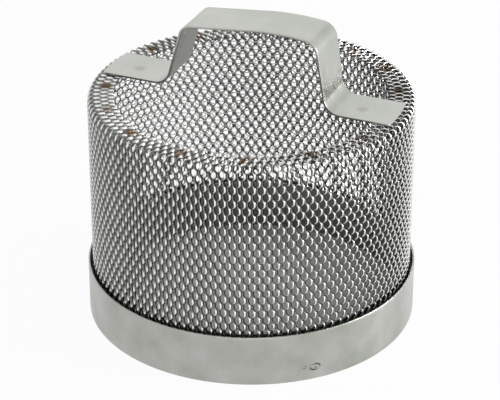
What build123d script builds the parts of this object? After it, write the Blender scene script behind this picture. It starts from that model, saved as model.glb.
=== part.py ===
from build123d import *

import os
from math import cos, pi, radians, sin

# Basket strainer of expanded metal, standing on its open rim.
#
# A sheet of expanded metal is rolled into a wall, and its top edge is folded inwards as a flange over
# an end disc of the same mesh. The foot of the wall stands between two rolled bands, and a bent strip
# handle stands across the flange. Everything is spot-welded, so nothing moves.
#
# Millimetres, +Z up. The origin is the centre of the open rim, and the handle runs along X.

# Wall and end disc: expanded metal, measured over its raised strands
wall_radius = 43.8
basket_height = 63.8  # from the rim to the top of the folded flange
mesh_thickness = 1.2
wall_foot_rise = 0.6  # the wall stops short of the rim
fold_radius = 1.8  # outside of the fold between wall and flange
flange_width = 7.0
disc_play = 0.6  # between the disc's edge and the wall

# Openings of the mesh: fewer and larger than the sheet's own, and of the same form
opening_columns = 20
opening_rows = 4
strand_width = 2.4
bond_length = 3.4  # where two strands run together
strand_lean = 30.0  # degrees that the strands stand out of the sheet, so its openings are cut aslant
plain_margin = 1.0  # whole metal above the bands, below the fold and round the disc
disc_mesh_angle = 20.0  # degrees from the handle to the long way of the disc's openings

# Ridges of the flange, where the fold squeezes the cells of the mesh shut
ridge_count = 60
ridge_depth = 0.5
ridge_groove_width = 1.8
ridge_margin = 0.5  # their grooves start this far inside the flange's edge and end short of the fold

# Bands: two strips rolled into rings, one each side of the wall's foot
band_height = 14.3
band_sheet = 0.5
band_gap = 0.7  # the outer band stands off the wall, and only its welds reach it
band_seam_gap = 0.3  # where the two ends of a strip meet
band_seam_angle = 134.2  # degrees from +X, at the back

# Spot welds through the two bands and the wall
band_weld_diameter = 2.2
band_weld_height = 3.7
band_weld_count = 3
band_weld_angle = 314.2  # the first one, degrees from +X

# Handle: one strip bent up from its two feet, measured on the middle line of its section
strip_width = 13.9
strip_thickness = 0.6
strip_offset = 1.1  # sideways from the middle of the basket
foot_setback = 2.3  # from the wall's outside to the rounded ends of the feet
left_foot_bend = -22.3
left_grip_bend = -17.6
left_grip_height = 17.9
crown_place = 9.0
crown_height = 20.8
right_grip_bend = 20.3
right_grip_height = 19.6
right_foot_bend = 23.3
foot_bend_radius = 4.5
left_grip_radius = 3.2
right_grip_radius = 3.9
crown_radius = 60.0

# Sizes that follow
wall_inside = wall_radius - mesh_thickness
inner_band_inside = wall_inside - band_sheet
outer_band_inside = wall_radius + band_gap
outer_band_radius = outer_band_inside + band_sheet
flange_inside = wall_radius - flange_width
groove_length = flange_width - fold_radius
flange_underside = basket_height - mesh_thickness
disc_radius = wall_inside - disc_play
pierced_radius = disc_radius - plain_margin
foot_middle = basket_height + strip_thickness / 2
foot_end_radius = wall_radius - foot_setback

window_bottom = band_height + plain_margin
window_top = basket_height - fold_radius - plain_margin
column_angle = 360.0 / opening_columns
cell_width = 2 * pi * (wall_radius - mesh_thickness / 2) / opening_columns
cell_height = 2 * (window_top - window_bottom + bond_length) / (opening_rows + 1)
opening_width = cell_width - 2 * strand_width
opening_height = cell_height - bond_length


def facing_outwards(radius, angle, height):
    """A plane at a place round the axis, its normal radial and its Y upwards."""
    outwards = Vector(cos(radians(angle)), sin(radians(angle)), 0)
    sideways = Vector(-outwards.Y, outwards.X, 0)
    return Plane(origin=outwards * radius + Vector(0, 0, height), x_dir=sideways, z_dir=outwards)


def mesh_opening(rotation=0, squeeze=1.0):
    """The six-sided opening of expanded metal, its long way along Y before it is turned."""
    side = squeeze * opening_width / 2
    flat = bond_length / 2
    tip = opening_height / 2
    Polygon(
        (0, tip),
        (-side, flat),
        (-side, -flat),
        (0, -tip),
        (side, -flat),
        (side, flat),
        rotation=rotation,
    )


def band_section(inside):
    """The section of a rolled band, from the rim up."""
    with Locations((inside, 0)):
        Rectangle(band_sheet, band_height, align=(Align.MIN, Align.MIN))


# Outer band, with the welds that run in from it to the wall
weld_angles = [band_weld_angle + weld * 360.0 / band_weld_count for weld in range(band_weld_count)]
with BuildPart() as outer_band:
    with BuildSketch(Plane.XZ):
        band_section(outer_band_inside)
    revolve(axis=Axis.Z)
    with BuildSketch(facing_outwards(outer_band_radius, band_seam_angle, band_height / 2)):
        Rectangle(band_seam_gap, 2 * band_height)
    extrude(amount=2 * band_sheet, both=True, mode=Mode.SUBTRACT)
    with BuildSketch(*[facing_outwards(outer_band_inside, angle, band_weld_height) for angle in weld_angles]):
        Circle(band_weld_diameter / 2)
    extrude(amount=-2 * band_gap)
    Cylinder(wall_radius, 2 * band_height, mode=Mode.SUBTRACT)

# Inner band, with the wall drawn tight round it
with BuildPart() as inner_band:
    with BuildSketch(Plane.XZ):
        band_section(inner_band_inside)
    revolve(axis=Axis.Z)
    with BuildSketch(facing_outwards(wall_inside, band_seam_angle, band_height / 2)):
        Rectangle(band_seam_gap, 2 * band_height)
    extrude(amount=2 * band_sheet, both=True, mode=Mode.SUBTRACT)

# Wall and flange: one sheet of mesh, rolled and folded
with BuildPart() as side_mesh:
    with BuildSketch(Plane.XZ):
        Polygon(
            (wall_inside, wall_foot_rise),
            (wall_radius, wall_foot_rise),
            (wall_radius, basket_height),
            (flange_inside, basket_height),
            (flange_inside, flange_underside),
            (wall_inside, flange_underside),
        )
        fillet(vertices().sort_by_distance((wall_radius, basket_height))[0], fold_radius)
    revolve(axis=Axis.Z)
    openings = [
        facing_outwards(
            wall_radius - mesh_thickness / 2,
            (column + 0.5 * (row % 2)) * column_angle,
            window_bottom + (opening_height + row * cell_height) / 2,
        ).rotated((0, strand_lean, 0))
        for row in range(opening_rows)
        for column in range(opening_columns)
    ]
    with BuildSketch(*openings):
        mesh_opening(squeeze=cos(radians(strand_lean)))
    extrude(amount=mesh_thickness + opening_width / 2, both=True, mode=Mode.SUBTRACT)
    grooves = [
        facing_outwards(flange_inside - ridge_margin, (ridge + 0.5) * 360.0 / ridge_count, basket_height)
        for ridge in range(ridge_count)
    ]
    with BuildSketch(*grooves):
        Polygon(
            (-ridge_groove_width / 2, 0),
            (0, -ridge_depth),
            (ridge_groove_width / 2, 0),
        )
    extrude(amount=groove_length, mode=Mode.SUBTRACT)

# End disc: a flat piece of the same mesh, welded to the underside of the flange
with BuildPart() as end_mesh:
    with BuildSketch(Plane.XY.offset(flange_underside)):
        Circle(disc_radius)
    extrude(amount=-mesh_thickness)
    with BuildSketch(Plane.XY.offset(flange_underside)):
        row_reach = int(2 * pierced_radius / cell_height)
        column_reach = int(pierced_radius / cell_width) + 1
        centres = [
            Vector(row * cell_height / 2, (column + 0.5 * (row % 2)) * cell_width, 0)
            for row in range(-row_reach, row_reach + 1)
            for column in range(-column_reach, column_reach + 1)
        ]
        inner_centres = [centre.rotate(Axis.Z, disc_mesh_angle) for centre in centres if centre.length < pierced_radius]
        with Locations(*inner_centres):
            mesh_opening(rotation=disc_mesh_angle - 90)
        Circle(pierced_radius, mode=Mode.INTERSECT)
    slant = Vector(sin(radians(strand_lean)), 0, -cos(radians(strand_lean))).rotate(Axis.Z, disc_mesh_angle - 90)
    extrude(amount=mesh_thickness / cos(radians(strand_lean)), dir=slant, mode=Mode.SUBTRACT)

# Handle: the strip's middle line is drawn along X and given its thickness
with BuildPart() as handle:
    with BuildSketch(Plane.XZ.offset(-strip_offset)):
        with BuildLine():
            FilletPolyline(
                (-wall_radius, foot_middle),
                (left_foot_bend, foot_middle),
                (left_grip_bend, basket_height + left_grip_height),
                (crown_place, basket_height + crown_height),
                (right_grip_bend, basket_height + right_grip_height),
                (right_foot_bend, foot_middle),
                (wall_radius, foot_middle),
                radius=[foot_bend_radius, left_grip_radius, crown_radius, right_grip_radius, foot_bend_radius],
            )
        trace(line_width=strip_thickness)
    extrude(amount=strip_width / 2, both=True)
    Cylinder(foot_end_radius, 4 * basket_height, mode=Mode.INTERSECT)

os.makedirs("parts", exist_ok=True)
pieces = {
    "outer_band": outer_band,
    "inner_band": inner_band,
    "side_mesh": side_mesh,
    "end_mesh": end_mesh,
    "handle": handle,
}
for name, piece in pieces.items():
    piece.part.label = name
    export_step(piece.part, f"parts/{name}.step")
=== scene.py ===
import math

import bmesh
import bpy
import numpy as np
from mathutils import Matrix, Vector


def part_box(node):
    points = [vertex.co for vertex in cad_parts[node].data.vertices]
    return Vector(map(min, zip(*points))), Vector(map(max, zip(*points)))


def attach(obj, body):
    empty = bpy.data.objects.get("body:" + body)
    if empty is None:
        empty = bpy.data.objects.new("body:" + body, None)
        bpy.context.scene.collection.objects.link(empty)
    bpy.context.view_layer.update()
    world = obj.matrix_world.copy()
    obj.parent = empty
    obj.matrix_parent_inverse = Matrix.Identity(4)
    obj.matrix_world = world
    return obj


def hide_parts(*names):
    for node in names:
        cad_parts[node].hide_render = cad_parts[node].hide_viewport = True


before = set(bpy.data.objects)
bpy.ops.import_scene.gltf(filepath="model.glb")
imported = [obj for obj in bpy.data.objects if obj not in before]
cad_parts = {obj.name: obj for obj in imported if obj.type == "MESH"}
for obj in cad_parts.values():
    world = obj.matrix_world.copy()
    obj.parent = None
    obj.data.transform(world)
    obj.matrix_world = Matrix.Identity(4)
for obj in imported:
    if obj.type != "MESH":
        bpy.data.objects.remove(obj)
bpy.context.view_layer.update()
mm = 0.001
touching = 1e-6  # metres; points nearer than this share a place


def clearSelection():
    if bpy.context.object and bpy.context.object.mode != "OBJECT":
        bpy.ops.object.mode_set(mode="OBJECT")
    bpy.ops.object.select_all(action="DESELECT")


def makeActive(piece):
    clearSelection()
    piece.select_set(True)
    bpy.context.view_layer.objects.active = piece


def applyModifiers(piece):
    makeActive(piece)
    for modifier in list(piece.modifiers):
        bpy.ops.object.modifier_apply(modifier=modifier.name)


def settle(piece, location=(0, 0, 0), turn=(0, 0, 0), scale=(1, 1, 1)):
    # moves, turns and scales the mesh itself, so the object sits at the origin
    piece.location = location
    piece.rotation_euler = turn
    piece.scale = scale
    makeActive(piece)
    bpy.ops.object.transform_apply(location=True, rotation=True, scale=True)


def copyPiece(piece, name):
    # a copy with a mesh of its own
    twin = piece.copy()
    twin.data = piece.data.copy()
    twin.name = name
    bpy.context.collection.objects.link(twin)
    return twin


def joinPieces(pieces, name):
    clearSelection()
    for piece in pieces:
        piece.select_set(True)
    bpy.context.view_layer.objects.active = pieces[0]
    bpy.ops.object.join()
    joined = bpy.context.object
    joined.name = name
    joined.data.name = name
    return joined


def arrayAlong(piece, count, step, mergeGap=0):
    rows = piece.modifiers.new("rows", "ARRAY")
    rows.count = count
    rows.use_relative_offset = False
    rows.use_constant_offset = True
    rows.constant_offset_displace = step
    rows.use_merge_vertices = mergeGap > 0
    rows.merge_threshold = mergeGap
    applyModifiers(piece)


def selectInEdit(piece, kind, test):
    # goes into edit mode with only those faces or edges selected for which test is true
    makeActive(piece)
    bpy.ops.object.mode_set(mode="EDIT")
    bpy.ops.mesh.select_mode(type=kind)
    bpy.ops.mesh.select_all(action="DESELECT")
    shape = bmesh.from_edit_mesh(piece.data)
    for element in {"EDGE": shape.edges, "FACE": shape.faces}[kind]:
        if test(element):
            element.select_set(True)
    bmesh.update_edit_mesh(piece.data)


def leaveEdit():
    bpy.ops.object.mode_set(mode="OBJECT")


def faceOutwards(piece):
    makeActive(piece)
    bpy.ops.object.mode_set(mode="EDIT")
    bpy.ops.mesh.select_all(action="SELECT")
    bpy.ops.mesh.normals_make_consistent(inside=False)
    leaveEdit()


def readPoints(piece):
    points = np.empty(len(piece.data.vertices) * 3)
    piece.data.vertices.foreach_get("co", points)
    return points.reshape(-1, 3)


def writePoints(piece, points):
    piece.data.vertices.foreach_set("co", points.reshape(-1))
    piece.data.update()


def paintPoints(piece, name, values):
    # one value a point, read by the material
    attributes = piece.data.attributes
    layer = attributes.get(name) or attributes.new(name, "FLOAT", "POINT")
    layer.data.foreach_set("value", values)


def readValues(piece, name):
    values = np.empty(len(piece.data.vertices))
    piece.data.attributes[name].data.foreach_get("value", values)
    return values


wallLow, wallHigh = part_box("side_mesh")
discLow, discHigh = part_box("end_mesh")
outerLow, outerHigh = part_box("outer_band")
innerLow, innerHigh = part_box("inner_band")
handleLow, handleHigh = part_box("handle")
wallRadius = max(wallHigh[0], -wallLow[0])
wallFoot = wallLow[2]
wallTop = wallHigh[2]
discTop = discHigh[2]
discRadius = max(discHigh[0], -discLow[0])
print("frame loaded")


cameraSet = {
    "place": (0.2101, -0.4912, 0.3175),
    "lookDown": 28.217,  # degrees below level
    "turn": 23.2,  # degrees from the handle's broadside
    "lens": 159.7,
    "sensor": 36,
    "clip": (0.01, 20),
}


def placeCamera():
    data = bpy.data.cameras.new("camera")
    data.sensor_width = cameraSet["sensor"]
    data.lens = cameraSet["lens"]
    data.clip_start, data.clip_end = cameraSet["clip"]
    camera = bpy.data.objects.new("camera", data)
    bpy.context.collection.objects.link(camera)
    camera.location = cameraSet["place"]
    camera.rotation_euler = (
        math.radians(90 - cameraSet["lookDown"]), 0, math.radians(cameraSet["turn"]))
    bpy.context.scene.camera = camera


placeCamera()


meshSet = {
    "cellsAround": 109,
    "cellLength": 4.0 * mm,
    "depth": 1.2 * mm,  # over the raised strands
    "spareRows": 3,  # cut off again at the ends of a sheet
    "spareCells": 2,
    "mergeGap": 0.02 * mm,  # for the points where one row goes on from another
    "foldRadius": 1.2 * mm,  # at the middle of the sheet
    "flangeWidth": 7.0 * mm,
    "discTurn": 208,  # degrees from the handle to the long way of the disc's cells
    "discTrim": 0.4 * mm,  # the disc's faces stop this far inside its edge
    "spotRadius": 39.3 * mm,  # the flange's weld spots
    "spots": {  # angle of each and how brown it is
        4.0: 1.0, 24.6: 0.9, 45.7: 1.0, 67.9: 0.8, 90: 0.9, 112.5: 0.7, 135: 1.0, 157.5: 0.8,
        180: 1.0, 197.6: 0.9, 218.5: 0.6, 241.0: 0.8, 266.2: 1.0, 290.3: 1.0, 315.4: 0.9,
        339.7: 0.7},
    "spotWidth": 1.9 * mm,
    "spotDepth": 0.25 * mm,
    "spotReach": 1.5,  # the spots go this many sheet depths down
    "flangePaintedSheen": 0.3,
    "paintedSheenDepth": 0.8 * mm,  # how far down the flange's painted sheen reaches
}
wallWeave = {
    "width": 0.76 * mm,
    "thickness": 0.30 * mm,
    "tilt": -39,  # degrees out of the sheet
    "bond": 1.2 * mm,  # length over which two strands run together
    "paintedHighlight": 1.9 * mm,  # length of the painted highlight on each bond
    "bondPaintedHighlight": 1.0,
    "legPaintedHighlight": 0.35,
}
discWeave = {
    "width": 0.85 * mm,
    "thickness": 0.18 * mm,
    "tilt": -28,
    "bond": 1.3 * mm,
    "paintedHighlight": 1.2 * mm,
    "bondPaintedHighlight": 0.45,
    "legPaintedHighlight": 0.45,
}
midRadius = wallRadius - meshSet["depth"] / 2
cellWidth = 2 * math.pi * midRadius / meshSet["cellsAround"]
wallStraight = wallTop - meshSet["depth"] / 2 - meshSet["foldRadius"] - wallFoot
foldLength = meshSet["foldRadius"] * math.pi / 2


def makeStrand(name, weave):
    # one strand over one cell: along a bond, across to the next one, along it and back
    tilt = math.radians(weave["tilt"])
    width = weave["width"]
    halfStep = width * math.cos(tilt) / 2
    swing = cellWidth / 4 - halfStep
    rise = width * math.sin(tilt) / 2
    bond = weave["bond"]
    slope = meshSet["cellLength"] / 2 - bond
    clearSelection()
    bpy.ops.mesh.primitive_plane_add(size=1, location=(0, 0, 0))
    strand = bpy.context.object
    strand.name = name
    settle(strand, scale=(width, weave["thickness"], 1))
    settle(strand, turn=(math.radians(90), 0, 0))
    settle(strand, turn=(0, -tilt, 0))
    # the section's outer end is the one that gets the painted highlight
    paintPoints(strand, "paintedHighlight", (readPoints(strand)[:, 2] > 0).astype(float))
    settle(strand, location=(swing, -bond / 2, -rise))
    bpy.ops.object.mode_set(mode="EDIT")
    bpy.ops.mesh.select_all(action="SELECT")
    moves = [
        (0, bond / 2, 0),
        (0, bond / 2, 0),
        (-2 * swing, slope, 2 * rise),
        (0, bond / 2, 0),
        (0, bond / 2, 0),
        (2 * swing, slope, -2 * rise),
    ]
    for move in moves:
        bpy.ops.mesh.extrude_region_move(TRANSFORM_OT_translate={"value": move})
    leaveEdit()
    # both end faces go, so that the rows can be merged
    endOn = 0.9
    selectInEdit(strand, "FACE", lambda face: abs(face.normal.y) > endOn)
    bpy.ops.mesh.delete(type="ONLY_FACE")
    leaveEdit()
    return strand


def paintBondHighlights(sheet, weave):
    # painted highlights on the outer corners of the bonds, standing in for the light they catch
    points = readPoints(sheet)
    step = meshSet["cellLength"] / 2
    fromBond = np.abs(points[:, 1] - np.round(points[:, 1] / step) * step) / (weave["paintedHighlight"] / 2)
    raised = np.clip(2 * points[:, 2] / points[:, 2].max(), 0, 1)
    onBond = np.clip(1 - fromBond, 0, 1)
    level = weave["legPaintedHighlight"] + (weave["bondPaintedHighlight"] - weave["legPaintedHighlight"]) * onBond
    paintPoints(sheet, "paintedHighlight", readValues(sheet, "paintedHighlight") * raised * level)


def makeFlatMesh(name, weave, cellsAcross, length):
    # a flat sheet of expanded metal: cells side by side along X, their long way along Y
    rows = int(length / meshSet["cellLength"]) + meshSet["spareRows"]
    first = makeStrand(name, weave)
    arrayAlong(first, rows, (0, meshSet["cellLength"], 0), mergeGap=meshSet["mergeGap"])
    second = copyPiece(first, name + "Second")
    settle(first, location=(0, -meshSet["cellLength"], 0))
    settle(second, location=(cellWidth / 2, -meshSet["cellLength"] / 2, 0))
    sheet = joinPieces([first, second], name)
    arrayAlong(sheet, cellsAcross, (cellWidth, 0, 0))
    makeActive(sheet)
    bpy.ops.object.mode_set(mode="EDIT")
    for cut, outwards in ((0, -1), (length, 1)):
        bpy.ops.mesh.select_all(action="SELECT")
        bpy.ops.mesh.bisect(plane_co=(0, cut, 0), plane_no=(0, outwards, 0), use_fill=True,
                            clear_outer=True)
    faceOutwards(sheet)
    paintBondHighlights(sheet, weave)
    bpy.ops.object.shade_smooth()
    return sheet


def pressSpots(sheet):
    # weld spots are pressed into the flange and burnt brown
    points = readPoints(sheet)
    burnAndShade = np.zeros(len(points))
    for angle, strength in meshSet["spots"].items():
        turn = math.radians(angle)
        spot = meshSet["spotRadius"] * np.array([math.cos(turn), math.sin(turn)])
        gap = np.linalg.norm(points[:, :2] - spot, axis=1)
        burnAndShade = np.maximum(burnAndShade, strength * np.exp(-(gap / meshSet["spotWidth"]) ** 2))
    burnAndShade[points[:, 2] <= wallTop - meshSet["spotReach"] * meshSet["depth"]] = 0
    # painted sheen: all the flange's outer side is painted lighter
    paintedSheenZone = (np.linalg.norm(points[:, :2], axis=1) < wallRadius - meshSet["foldRadius"]) & (
        points[:, 2] > wallTop - meshSet["paintedSheenDepth"])
    paintedHighlight = readValues(sheet, "paintedHighlight")
    paintedHighlight[paintedSheenZone] = np.maximum(paintedHighlight[paintedSheenZone], meshSet["flangePaintedSheen"])
    paintPoints(sheet, "paintedHighlight", np.minimum(paintedHighlight, 1 - burnAndShade))
    paintPoints(sheet, "burnAndShade", burnAndShade)
    points[:, 2] -= meshSet["spotDepth"] * burnAndShade
    writePoints(sheet, points)


def rollAndFold(sheet):
    # X goes round the wall; Y goes up it, round the fold and in along the flange
    points = readPoints(sheet)
    angle = points[:, 0] / midRadius
    along = points[:, 1]
    bend = np.clip((along - wallStraight) / meshSet["foldRadius"], 0, math.pi / 2)
    flangeIn = np.clip(along - wallStraight - foldLength, 0, None)
    radius = midRadius - meshSet["foldRadius"] * (1 - np.cos(bend)) - flangeIn
    height = wallFoot + np.clip(along, None, wallStraight) + meshSet["foldRadius"] * np.sin(bend)
    radius = radius + points[:, 2] * np.cos(bend)
    height = height + points[:, 2] * np.sin(bend)
    rolled = np.stack([radius * np.cos(angle), radius * np.sin(angle), height], axis=1)
    writePoints(sheet, rolled)


def makeSideMesh():
    length = (wallStraight + foldLength
              + meshSet["flangeWidth"] - meshSet["depth"] / 2 - meshSet["foldRadius"])
    sheet = makeFlatMesh("wallMesh", wallWeave, meshSet["cellsAround"], length)
    rollAndFold(sheet)
    pressSpots(sheet)
    return sheet


def makeDiscMesh():
    across = int(2 * discRadius / cellWidth) + meshSet["spareCells"]
    sheet = makeFlatMesh("discMesh", discWeave, across, 2 * discRadius)
    middle = discTop - meshSet["depth"] / 2
    settle(sheet, location=(-across * cellWidth / 2, -discRadius, middle))
    settle(sheet, turn=(0, 0, math.radians(meshSet["discTurn"] - 90)))
    reach = discRadius - meshSet["discTrim"]
    selectInEdit(sheet, "FACE", lambda face: face.calc_center_median().xy.length > reach)
    bpy.ops.mesh.delete(type="FACE")
    bpy.ops.mesh.select_all(action="SELECT")
    bpy.ops.mesh.fill_holes(sides=0)
    faceOutwards(sheet)
    return sheet


wallMesh = makeSideMesh()
print("wall mesh", len(wallMesh.data.polygons))
discMesh = makeDiscMesh()
print("disc mesh", len(discMesh.data.polygons))


edgeSet = {  # the cut edges of bands and handle
    "round": 0.12 * mm,
    "steps": 3,
    "angle": 50,  # degrees; a sharper edge than this is rounded
    "smoothAngle": 35,
}
bandSet = {
    "sheet": 0.5 * mm,
    "seamGap": 0.3 * mm,
    "seamAngle": 134.2,
    "facets": 240,
    "rows": 12,
    "innerPaintedShade": 0.45,  # painted shade: the inner band, inside the basket, is painted darker
}
weldSet = {  # on the outer band; ring and pip are shares of a mark's size
    "angles": (75, 195, 315),
    "height": 3.6 * mm,
    "size": (3.6 * mm, 2.3 * mm),
    "depth": 0.07 * mm,
    "sideShift": (-2.9 * mm, 0.3 * mm),  # a smaller mark beside each weld
    "sideSize": (1.3 * mm, 1.1 * mm),
    "reach": 1.4,
    "cuts": 7,
    "ringRadius": 0.38,
    "ringWidth": 0.12,
    "ringLevel": 0.7,
    "ringSwing": 0.3,  # how uneven the ring is
    "ringTurn": 0.6,
    "pipPlace": (0.05, -0.08),
    "pipSize": 0.14,
    "pipLevel": 0.8,
}


def thicken(piece, thickness):
    # a bare sheet gets its thickness and rounded edges
    wall = piece.modifiers.new("wall", "SOLIDIFY")
    wall.thickness = thickness
    wall.offset = 0
    edge = piece.modifiers.new("edge", "BEVEL")
    edge.width = edgeSet["round"]
    edge.segments = edgeSet["steps"]
    edge.limit_method = "ANGLE"
    edge.angle_limit = math.radians(edgeSet["angle"])
    applyModifiers(piece)


def smoothSheet(piece):
    makeActive(piece)
    bpy.ops.object.shade_smooth_by_angle(angle=math.radians(edgeSet["smoothAngle"]))


def markDepth(across, up):
    # an uneven ring with a pip in it
    sway = np.sin(2 * np.arctan2(up, across) - weldSet["ringTurn"])
    ring = (weldSet["ringLevel"] + weldSet["ringSwing"] * sway) * np.exp(
        -((np.hypot(across, up) - weldSet["ringRadius"]) / weldSet["ringWidth"]) ** 2)
    pipAcross, pipUp = weldSet["pipPlace"]
    fromPip = np.hypot(across - pipAcross, up - pipUp)
    pip = weldSet["pipLevel"] * np.exp(-(fromPip / weldSet["pipSize"]) ** 2)
    return np.maximum(ring, pip)


def pressWelds(band, radius, length, height, startAngle):
    # on the flat strip: finer faces round each weld, then its marks are pressed in and burnt
    places = []
    for turn in weldSet["angles"]:
        along = (math.radians(turn) - startAngle) % (2 * math.pi) * radius - length / 2
        places.append(Vector((along, weldSet["height"] - height / 2)))
    near = weldSet["reach"] * weldSet["size"][0]

    def nearWeld(face):
        centre = face.calc_center_median()
        return any(abs(centre.x - place.x) < near and abs(centre.y - place.y) < near
                   for place in places)

    selectInEdit(band, "FACE", nearWeld)
    bpy.ops.mesh.subdivide(number_cuts=weldSet["cuts"])
    leaveEdit()
    points = readPoints(band)
    sink = np.zeros(len(points))
    marks = (((0, 0), weldSet["size"]), (weldSet["sideShift"], weldSet["sideSize"]))
    for place in places:
        for shift, size in marks:
            across = (points[:, 0] - place.x - shift[0]) / size[0]
            up = (points[:, 1] - place.y - shift[1]) / size[1]
            sink = np.maximum(sink, markDepth(across, up))
    points[:, 2] -= weldSet["depth"] * sink
    writePoints(band, points)
    paintPoints(band, "burnAndShade", sink)


def makeBand(name, outerRadius, height, welds):
    # a flat strip, rolled so that its ends meet at the seam
    radius = outerRadius - bandSet["sheet"] / 2
    length = 2 * math.pi * radius - bandSet["seamGap"]
    clearSelection()
    bpy.ops.mesh.primitive_grid_add(
        x_subdivisions=bandSet["facets"], y_subdivisions=bandSet["rows"], size=1)
    band = bpy.context.object
    band.name = name
    settle(band, scale=(length, height, 1))
    startAngle = math.radians(bandSet["seamAngle"]) + bandSet["seamGap"] / 2 / radius
    if welds:
        pressWelds(band, radius, length, height, startAngle)
    else:
        # painted shade: the whole inner band gets part of the dark tint of the layer that also
        # marks the welds
        paintPoints(band, "burnAndShade", np.full(len(band.data.vertices), bandSet["innerPaintedShade"]))
    points = readPoints(band)
    angle = startAngle + (points[:, 0] + length / 2) / radius
    reach = radius + points[:, 2]
    up = points[:, 1] + height / 2
    writePoints(band, np.stack([reach * np.cos(angle), reach * np.sin(angle), up], axis=1))
    faceOutwards(band)
    thicken(band, bandSet["sheet"])
    smoothSheet(band)
    return band


outerBand = makeBand("outerBand", outerHigh[0], outerHigh[2] - outerLow[2], True)
innerBand = makeBand("innerBand", innerHigh[0], innerHigh[2] - innerLow[2], False)
print("bands")


handleSet = {
    "thickness": 0.6 * mm,
    "footRadius": 41.5 * mm,  # of the feet's rounded ends, from the middle of the basket
    "bends": [  # place along the handle, height over the foot, radius at the middle of the strip
        (-22.3, 0.0, 4.5),
        (-17.6, 17.6, 3.2),
        (9.0, 20.5, 60.0),
        (20.3, 19.3, 3.9),
        (23.3, 0.0, 4.5),
    ],
    "bendSteps": 10,
    "rows": 12,  # faces across the strip
    "footSpots": (-33.0 * mm, 31.5 * mm),
    "footSpotWidth": 2.0 * mm,
    "footSpotDepth": 0.12 * mm,
    "footReach": 20 * mm,  # finer faces this far from a spot, where the strip is flat and low
    "footLow": 1 * mm,
    "footFlat": 0.99,
    "footCuts": 15,
}


def pressFeet(handle):
    # the weld on each foot is a shallow dish with a tint round it
    low = handleLow[2] + handleSet["footLow"]

    def onFoot(face):
        centre = face.calc_center_median()
        return centre.z < low and abs(face.normal.z) > handleSet["footFlat"] and any(
            abs(centre.x - spot) < handleSet["footReach"] for spot in handleSet["footSpots"])

    selectInEdit(handle, "FACE", onFoot)
    bpy.ops.mesh.subdivide(number_cuts=handleSet["footCuts"])
    leaveEdit()
    points = readPoints(handle)
    burnAndShade = np.zeros(len(points))
    for spot in handleSet["footSpots"]:
        gap = np.hypot(points[:, 0] - spot, points[:, 1]) / handleSet["footSpotWidth"]
        burnAndShade = np.maximum(burnAndShade, np.exp(-gap ** 2) * (points[:, 2] < low))
    points[:, 2] -= handleSet["footSpotDepth"] * burnAndShade
    writePoints(handle, points)
    paintPoints(handle, "burnAndShade", burnAndShade)


def makeHandle():
    # a strip drawn foot to foot by extruding one edge, then bent by rounding its corners
    footHeight = handleLow[2] + handleSet["thickness"] / 2
    footRadius = handleSet["footRadius"]
    corners = [Vector((along * mm, 0, footHeight + up * mm))
               for along, up, radius in handleSet["bends"]]
    path = [Vector((-footRadius, 0, footHeight)), *corners, Vector((footRadius, 0, footHeight))]
    clearSelection()
    bpy.ops.mesh.primitive_grid_add(x_subdivisions=1, y_subdivisions=handleSet["rows"], size=1)
    handle = bpy.context.object
    handle.name = "stripHandle"
    settle(handle,
           location=(path[0] + path[1]) / 2 + Vector((0, (handleHigh[1] + handleLow[1]) / 2, 0)),
           scale=((path[1] - path[0]).length, handleHigh[1] - handleLow[1], 1))
    selectInEdit(handle, "EDGE", lambda edge: all(
        abs(end.co.x - path[1].x) < touching for end in edge.verts))
    for here, there in zip(path[1:], path[2:]):
        bpy.ops.mesh.extrude_region_move(TRANSFORM_OT_translate={"value": there - here})
    leaveEdit()
    for before, corner, after, bend in zip(path, corners, path[2:], handleSet["bends"]):
        turn = (corner - before).angle(after - corner)
        selectInEdit(handle, "EDGE", lambda edge: all(
            (end.co - corner).xz.length < touching for end in edge.verts))
        bpy.ops.mesh.bevel(offset=bend[2] * mm * math.tan(turn / 2), offset_type="OFFSET",
                           segments=handleSet["bendSteps"], profile=0.5, clamp_overlap=False)
        leaveEdit()
    # the feet end on a circle round the middle of the basket
    points = readPoints(handle)
    ends = np.abs(np.abs(points[:, 0]) - footRadius) < touching
    points[ends, 0] = np.sign(points[ends, 0]) * np.sqrt(footRadius ** 2 - points[ends, 1] ** 2)
    writePoints(handle, points)
    pressFeet(handle)
    thicken(handle, handleSet["thickness"])
    faceOutwards(handle)
    smoothSheet(handle)
    return handle


stripHandle = makeHandle()
print("handle")


steelSet = {
    "cloudDetail": 4,
    "toneSpread": (0.3, 0.7),  # of the cloud, from the dark tone to the light one
    "grainHeight": 0.02 * mm,
}
steelLooks = {
    "bandSteel": {
        "dark": (0.34, 0.36, 0.315), "light": (0.47, 0.455, 0.445), "rough": (0.30, 0.42),
        "cloudScale": 110, "grainScale": 2500, "grain": 0.5,
        # this dark tint serves the outer band's weld marks and the inner band's painted shade
        "burnAndShade": (0.06, 0.06, 0.055), "burnAndShadeSpread": (0.15, 0.9)},
    "meshSteel": {
        # the mesh's dark tones are partly a duller steel and partly painted shade among its
        # strands
        "dark": (0.12, 0.12, 0.11), "light": (0.18, 0.18, 0.165), "rough": (0.25, 0.38),
        "cloudScale": 160, "grainScale": 3000, "grain": 0.3,
        # painted highlight: the pale colour that the bonds' outer corners and the flange's outer
        # side are painted towards
        "paintedHighlight": (0.88, 0.88, 0.87), "paintedHighlightSpread": (0.2, 0.6),
        "burnAndShade": (0.15, 0.095, 0.055), "burnAndShadeSpread": (0.05, 0.75)},
    "handleSteel": {
        "dark": (0.38, 0.40, 0.36), "light": (0.47, 0.48, 0.44), "rough": (0.22, 0.32),
        "cloudScale": 60, "grainScale": 2500, "grain": 0.15,
        "burnAndShade": (0.34, 0.33, 0.29), "burnAndShadeSpread": (0.2, 1.0)},
}


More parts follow.
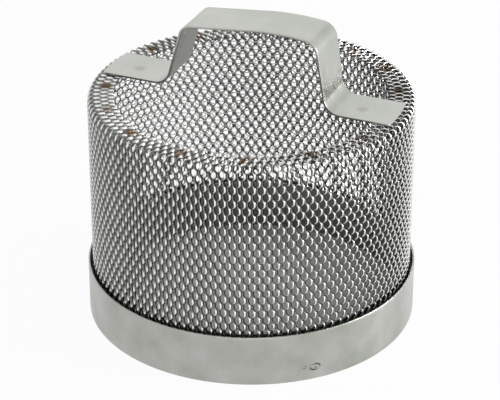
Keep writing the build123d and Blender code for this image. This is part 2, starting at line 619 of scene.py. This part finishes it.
def mixTint(material, base, name, tint, spread):
    # the colour turns to the tint as the attribute goes over the spread
    nodes = material.node_tree.nodes
    links = material.node_tree.links
    layer = nodes.new("ShaderNodeAttribute")
    layer.attribute_name = name
    mix = nodes.new("ShaderNodeMix")
    mix.data_type = "RGBA"
    share = nodes.new("ShaderNodeMapRange")
    share.interpolation_type = "SMOOTHSTEP"
    share.inputs["From Min"].default_value = spread[0]
    share.inputs["From Max"].default_value = spread[1]
    links.new(layer.outputs["Fac"], share.inputs["Value"])
    links.new(share.outputs["Result"], mix.inputs["Factor"])
    links.new(base, mix.inputs["A"])
    mix.inputs["B"].default_value = (*tint, 1)
    return mix.outputs["Result"]


def makeSteel(name, look):
    # bare steel: two tones and a roughness that wander slowly, and a fine bump
    material = bpy.data.materials.new(name)
    material.use_nodes = True
    nodes = material.node_tree.nodes
    links = material.node_tree.links
    shader = nodes["Principled BSDF"]
    shader.inputs["Metallic"].default_value = 1.0
    place = nodes.new("ShaderNodeTexCoord")
    cloud = nodes.new("ShaderNodeTexNoise")
    cloud.inputs["Scale"].default_value = look["cloudScale"]
    cloud.inputs["Detail"].default_value = steelSet["cloudDetail"]
    links.new(place.outputs["Object"], cloud.inputs["Vector"])
    tones = nodes.new("ShaderNodeValToRGB")
    for stop, position, tone in zip(
            tones.color_ramp.elements, steelSet["toneSpread"], ("dark", "light")):
        stop.position = position
        stop.color = (*look[tone], 1)
    links.new(cloud.outputs["Fac"], tones.inputs["Fac"])
    colour = tones.outputs["Color"]
    for layer in ("paintedHighlight", "burnAndShade"):
        if layer in look:
            colour = mixTint(material, colour, layer, look[layer], look[layer + "Spread"])
    links.new(colour, shader.inputs["Base Color"])
    rough = nodes.new("ShaderNodeMapRange")
    rough.inputs["To Min"].default_value = look["rough"][0]
    rough.inputs["To Max"].default_value = look["rough"][1]
    links.new(cloud.outputs["Fac"], rough.inputs["Value"])
    links.new(rough.outputs["Result"], shader.inputs["Roughness"])
    grain = nodes.new("ShaderNodeTexNoise")
    grain.inputs["Scale"].default_value = look["grainScale"]
    links.new(place.outputs["Object"], grain.inputs["Vector"])
    bump = nodes.new("ShaderNodeBump")
    bump.inputs["Strength"].default_value = look["grain"]
    bump.inputs["Distance"].default_value = steelSet["grainHeight"]
    links.new(grain.outputs["Fac"], bump.inputs["Height"])
    links.new(bump.outputs["Normal"], shader.inputs["Normal"])
    return material


steels = {name: makeSteel(name, look) for name, look in steelLooks.items()}
for piece, steel in (
    (outerBand, "bandSteel"),
    (innerBand, "bandSteel"),
    (wallMesh, "meshSteel"),
    (discMesh, "meshSteel"),
    (stripHandle, "handleSteel"),
):
    piece.data.materials.clear()
    piece.data.materials.append(steels[steel])
print("finishes")


lampSet = {
    "right": {"place": (0.95, 0.3, 0.25), "size": 0.6, "power": 18},
    "front": {"place": (0.5, -1.0, 0.15), "size": 0.4, "power": 2},
    "back": {"place": (-0.3, 1.0, 0.7), "size": 1.0, "power": 0.5},
}
studioSet = {
    "floorSize": 8,
    "floorRough": 0.9,
    "floorColour": (0.62, 0.62, 0.62),
    "floorWhite": 0.95,  # share of plain white that the eye sees in the floor round the object
    "worldLevel": 0.75,
}


def seenDirectly(tree):
    # one for what the camera, a mirror or a pane shows, nought for what only lights the scene
    path = tree.nodes.new("ShaderNodeLightPath")
    total = path.outputs["Is Camera Ray"]
    for ray in ("Is Glossy Ray", "Is Transmission Ray"):
        add = tree.nodes.new("ShaderNodeMath")
        add.operation = "ADD"
        add.use_clamp = True
        tree.links.new(total, add.inputs[0])
        tree.links.new(path.outputs[ray], add.inputs[1])
        total = add.outputs["Value"]
    return total


def makeFloor():
    clearSelection()
    bpy.ops.mesh.primitive_plane_add(size=studioSet["floorSize"], location=(0, 0, 0))
    floor = bpy.context.object
    floor.name = "floor"
    material = bpy.data.materials.new("floorWhite")
    material.use_nodes = True
    tree = material.node_tree
    shader = tree.nodes["Principled BSDF"]
    shader.inputs["Base Color"].default_value = (*studioSet["floorColour"], 1)
    shader.inputs["Roughness"].default_value = studioSet["floorRough"]
    shader.inputs["Specular IOR Level"].default_value = 0.0
    # round the bands the floor shows nearly white; inside them the white is left out, so the
    # floor under the basket is painted darker, as painted shade
    place = tree.nodes.new("ShaderNodeTexCoord")
    distance = tree.nodes.new("ShaderNodeVectorMath")
    distance.operation = "LENGTH"
    tree.links.new(place.outputs["Object"], distance.inputs[0])
    outside = tree.nodes.new("ShaderNodeMapRange")
    outside.inputs["From Min"].default_value = innerHigh[0]
    outside.inputs["From Max"].default_value = outerHigh[0]
    outside.inputs["To Max"].default_value = studioSet["floorWhite"]
    tree.links.new(distance.outputs["Value"], outside.inputs["Value"])
    share = tree.nodes.new("ShaderNodeMath")
    share.operation = "MULTIPLY"
    tree.links.new(outside.outputs["Result"], share.inputs[0])
    tree.links.new(seenDirectly(tree), share.inputs[1])
    white = tree.nodes.new("ShaderNodeEmission")
    mix = tree.nodes.new("ShaderNodeMixShader")
    tree.links.new(share.outputs["Value"], mix.inputs["Fac"])
    tree.links.new(shader.outputs["BSDF"], mix.inputs[1])
    tree.links.new(white.outputs["Emission"], mix.inputs[2])
    tree.links.new(mix.outputs["Shader"], tree.nodes["Material Output"].inputs["Surface"])
    floor.data.materials.append(material)


def makeLamp(name, place, size, power):
    data = bpy.data.lights.new(name, "AREA")
    data.shape = "DISK"
    data.size = size
    data.energy = power
    lamp = bpy.data.objects.new(name, data)
    bpy.context.collection.objects.link(lamp)
    lamp.location = place
    lamp.rotation_euler = (-Vector(place)).to_track_quat("-Z", "Y").to_euler()


def makeWorld():
    world = bpy.data.worlds.new("studio")
    bpy.context.scene.world = world
    world.use_nodes = True
    tree = world.node_tree
    background = tree.nodes["Background"]
    background.inputs["Color"].default_value = (1, 1, 1, 1)
    level = tree.nodes.new("ShaderNodeMapRange")
    level.inputs["To Min"].default_value = studioSet["worldLevel"]
    tree.links.new(seenDirectly(tree), level.inputs["Value"])
    tree.links.new(level.outputs["Result"], background.inputs["Strength"])


makeFloor()
makeWorld()
for name, lamp in lampSet.items():
    makeLamp(name, lamp["place"], lamp["size"], lamp["power"])
bpy.context.scene.view_settings.view_transform = "Standard"
print("studio")


for piece, node, slot in (
    (wallMesh, "side_mesh", "mesh_steel"),
    (discMesh, "end_mesh", "mesh_steel"),
    (outerBand, "outer_band", "band_steel"),
    (innerBand, "inner_band", "band_steel"),
    (stripHandle, "handle", "handle_steel"),
):
    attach(piece, "root")
    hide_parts(node)
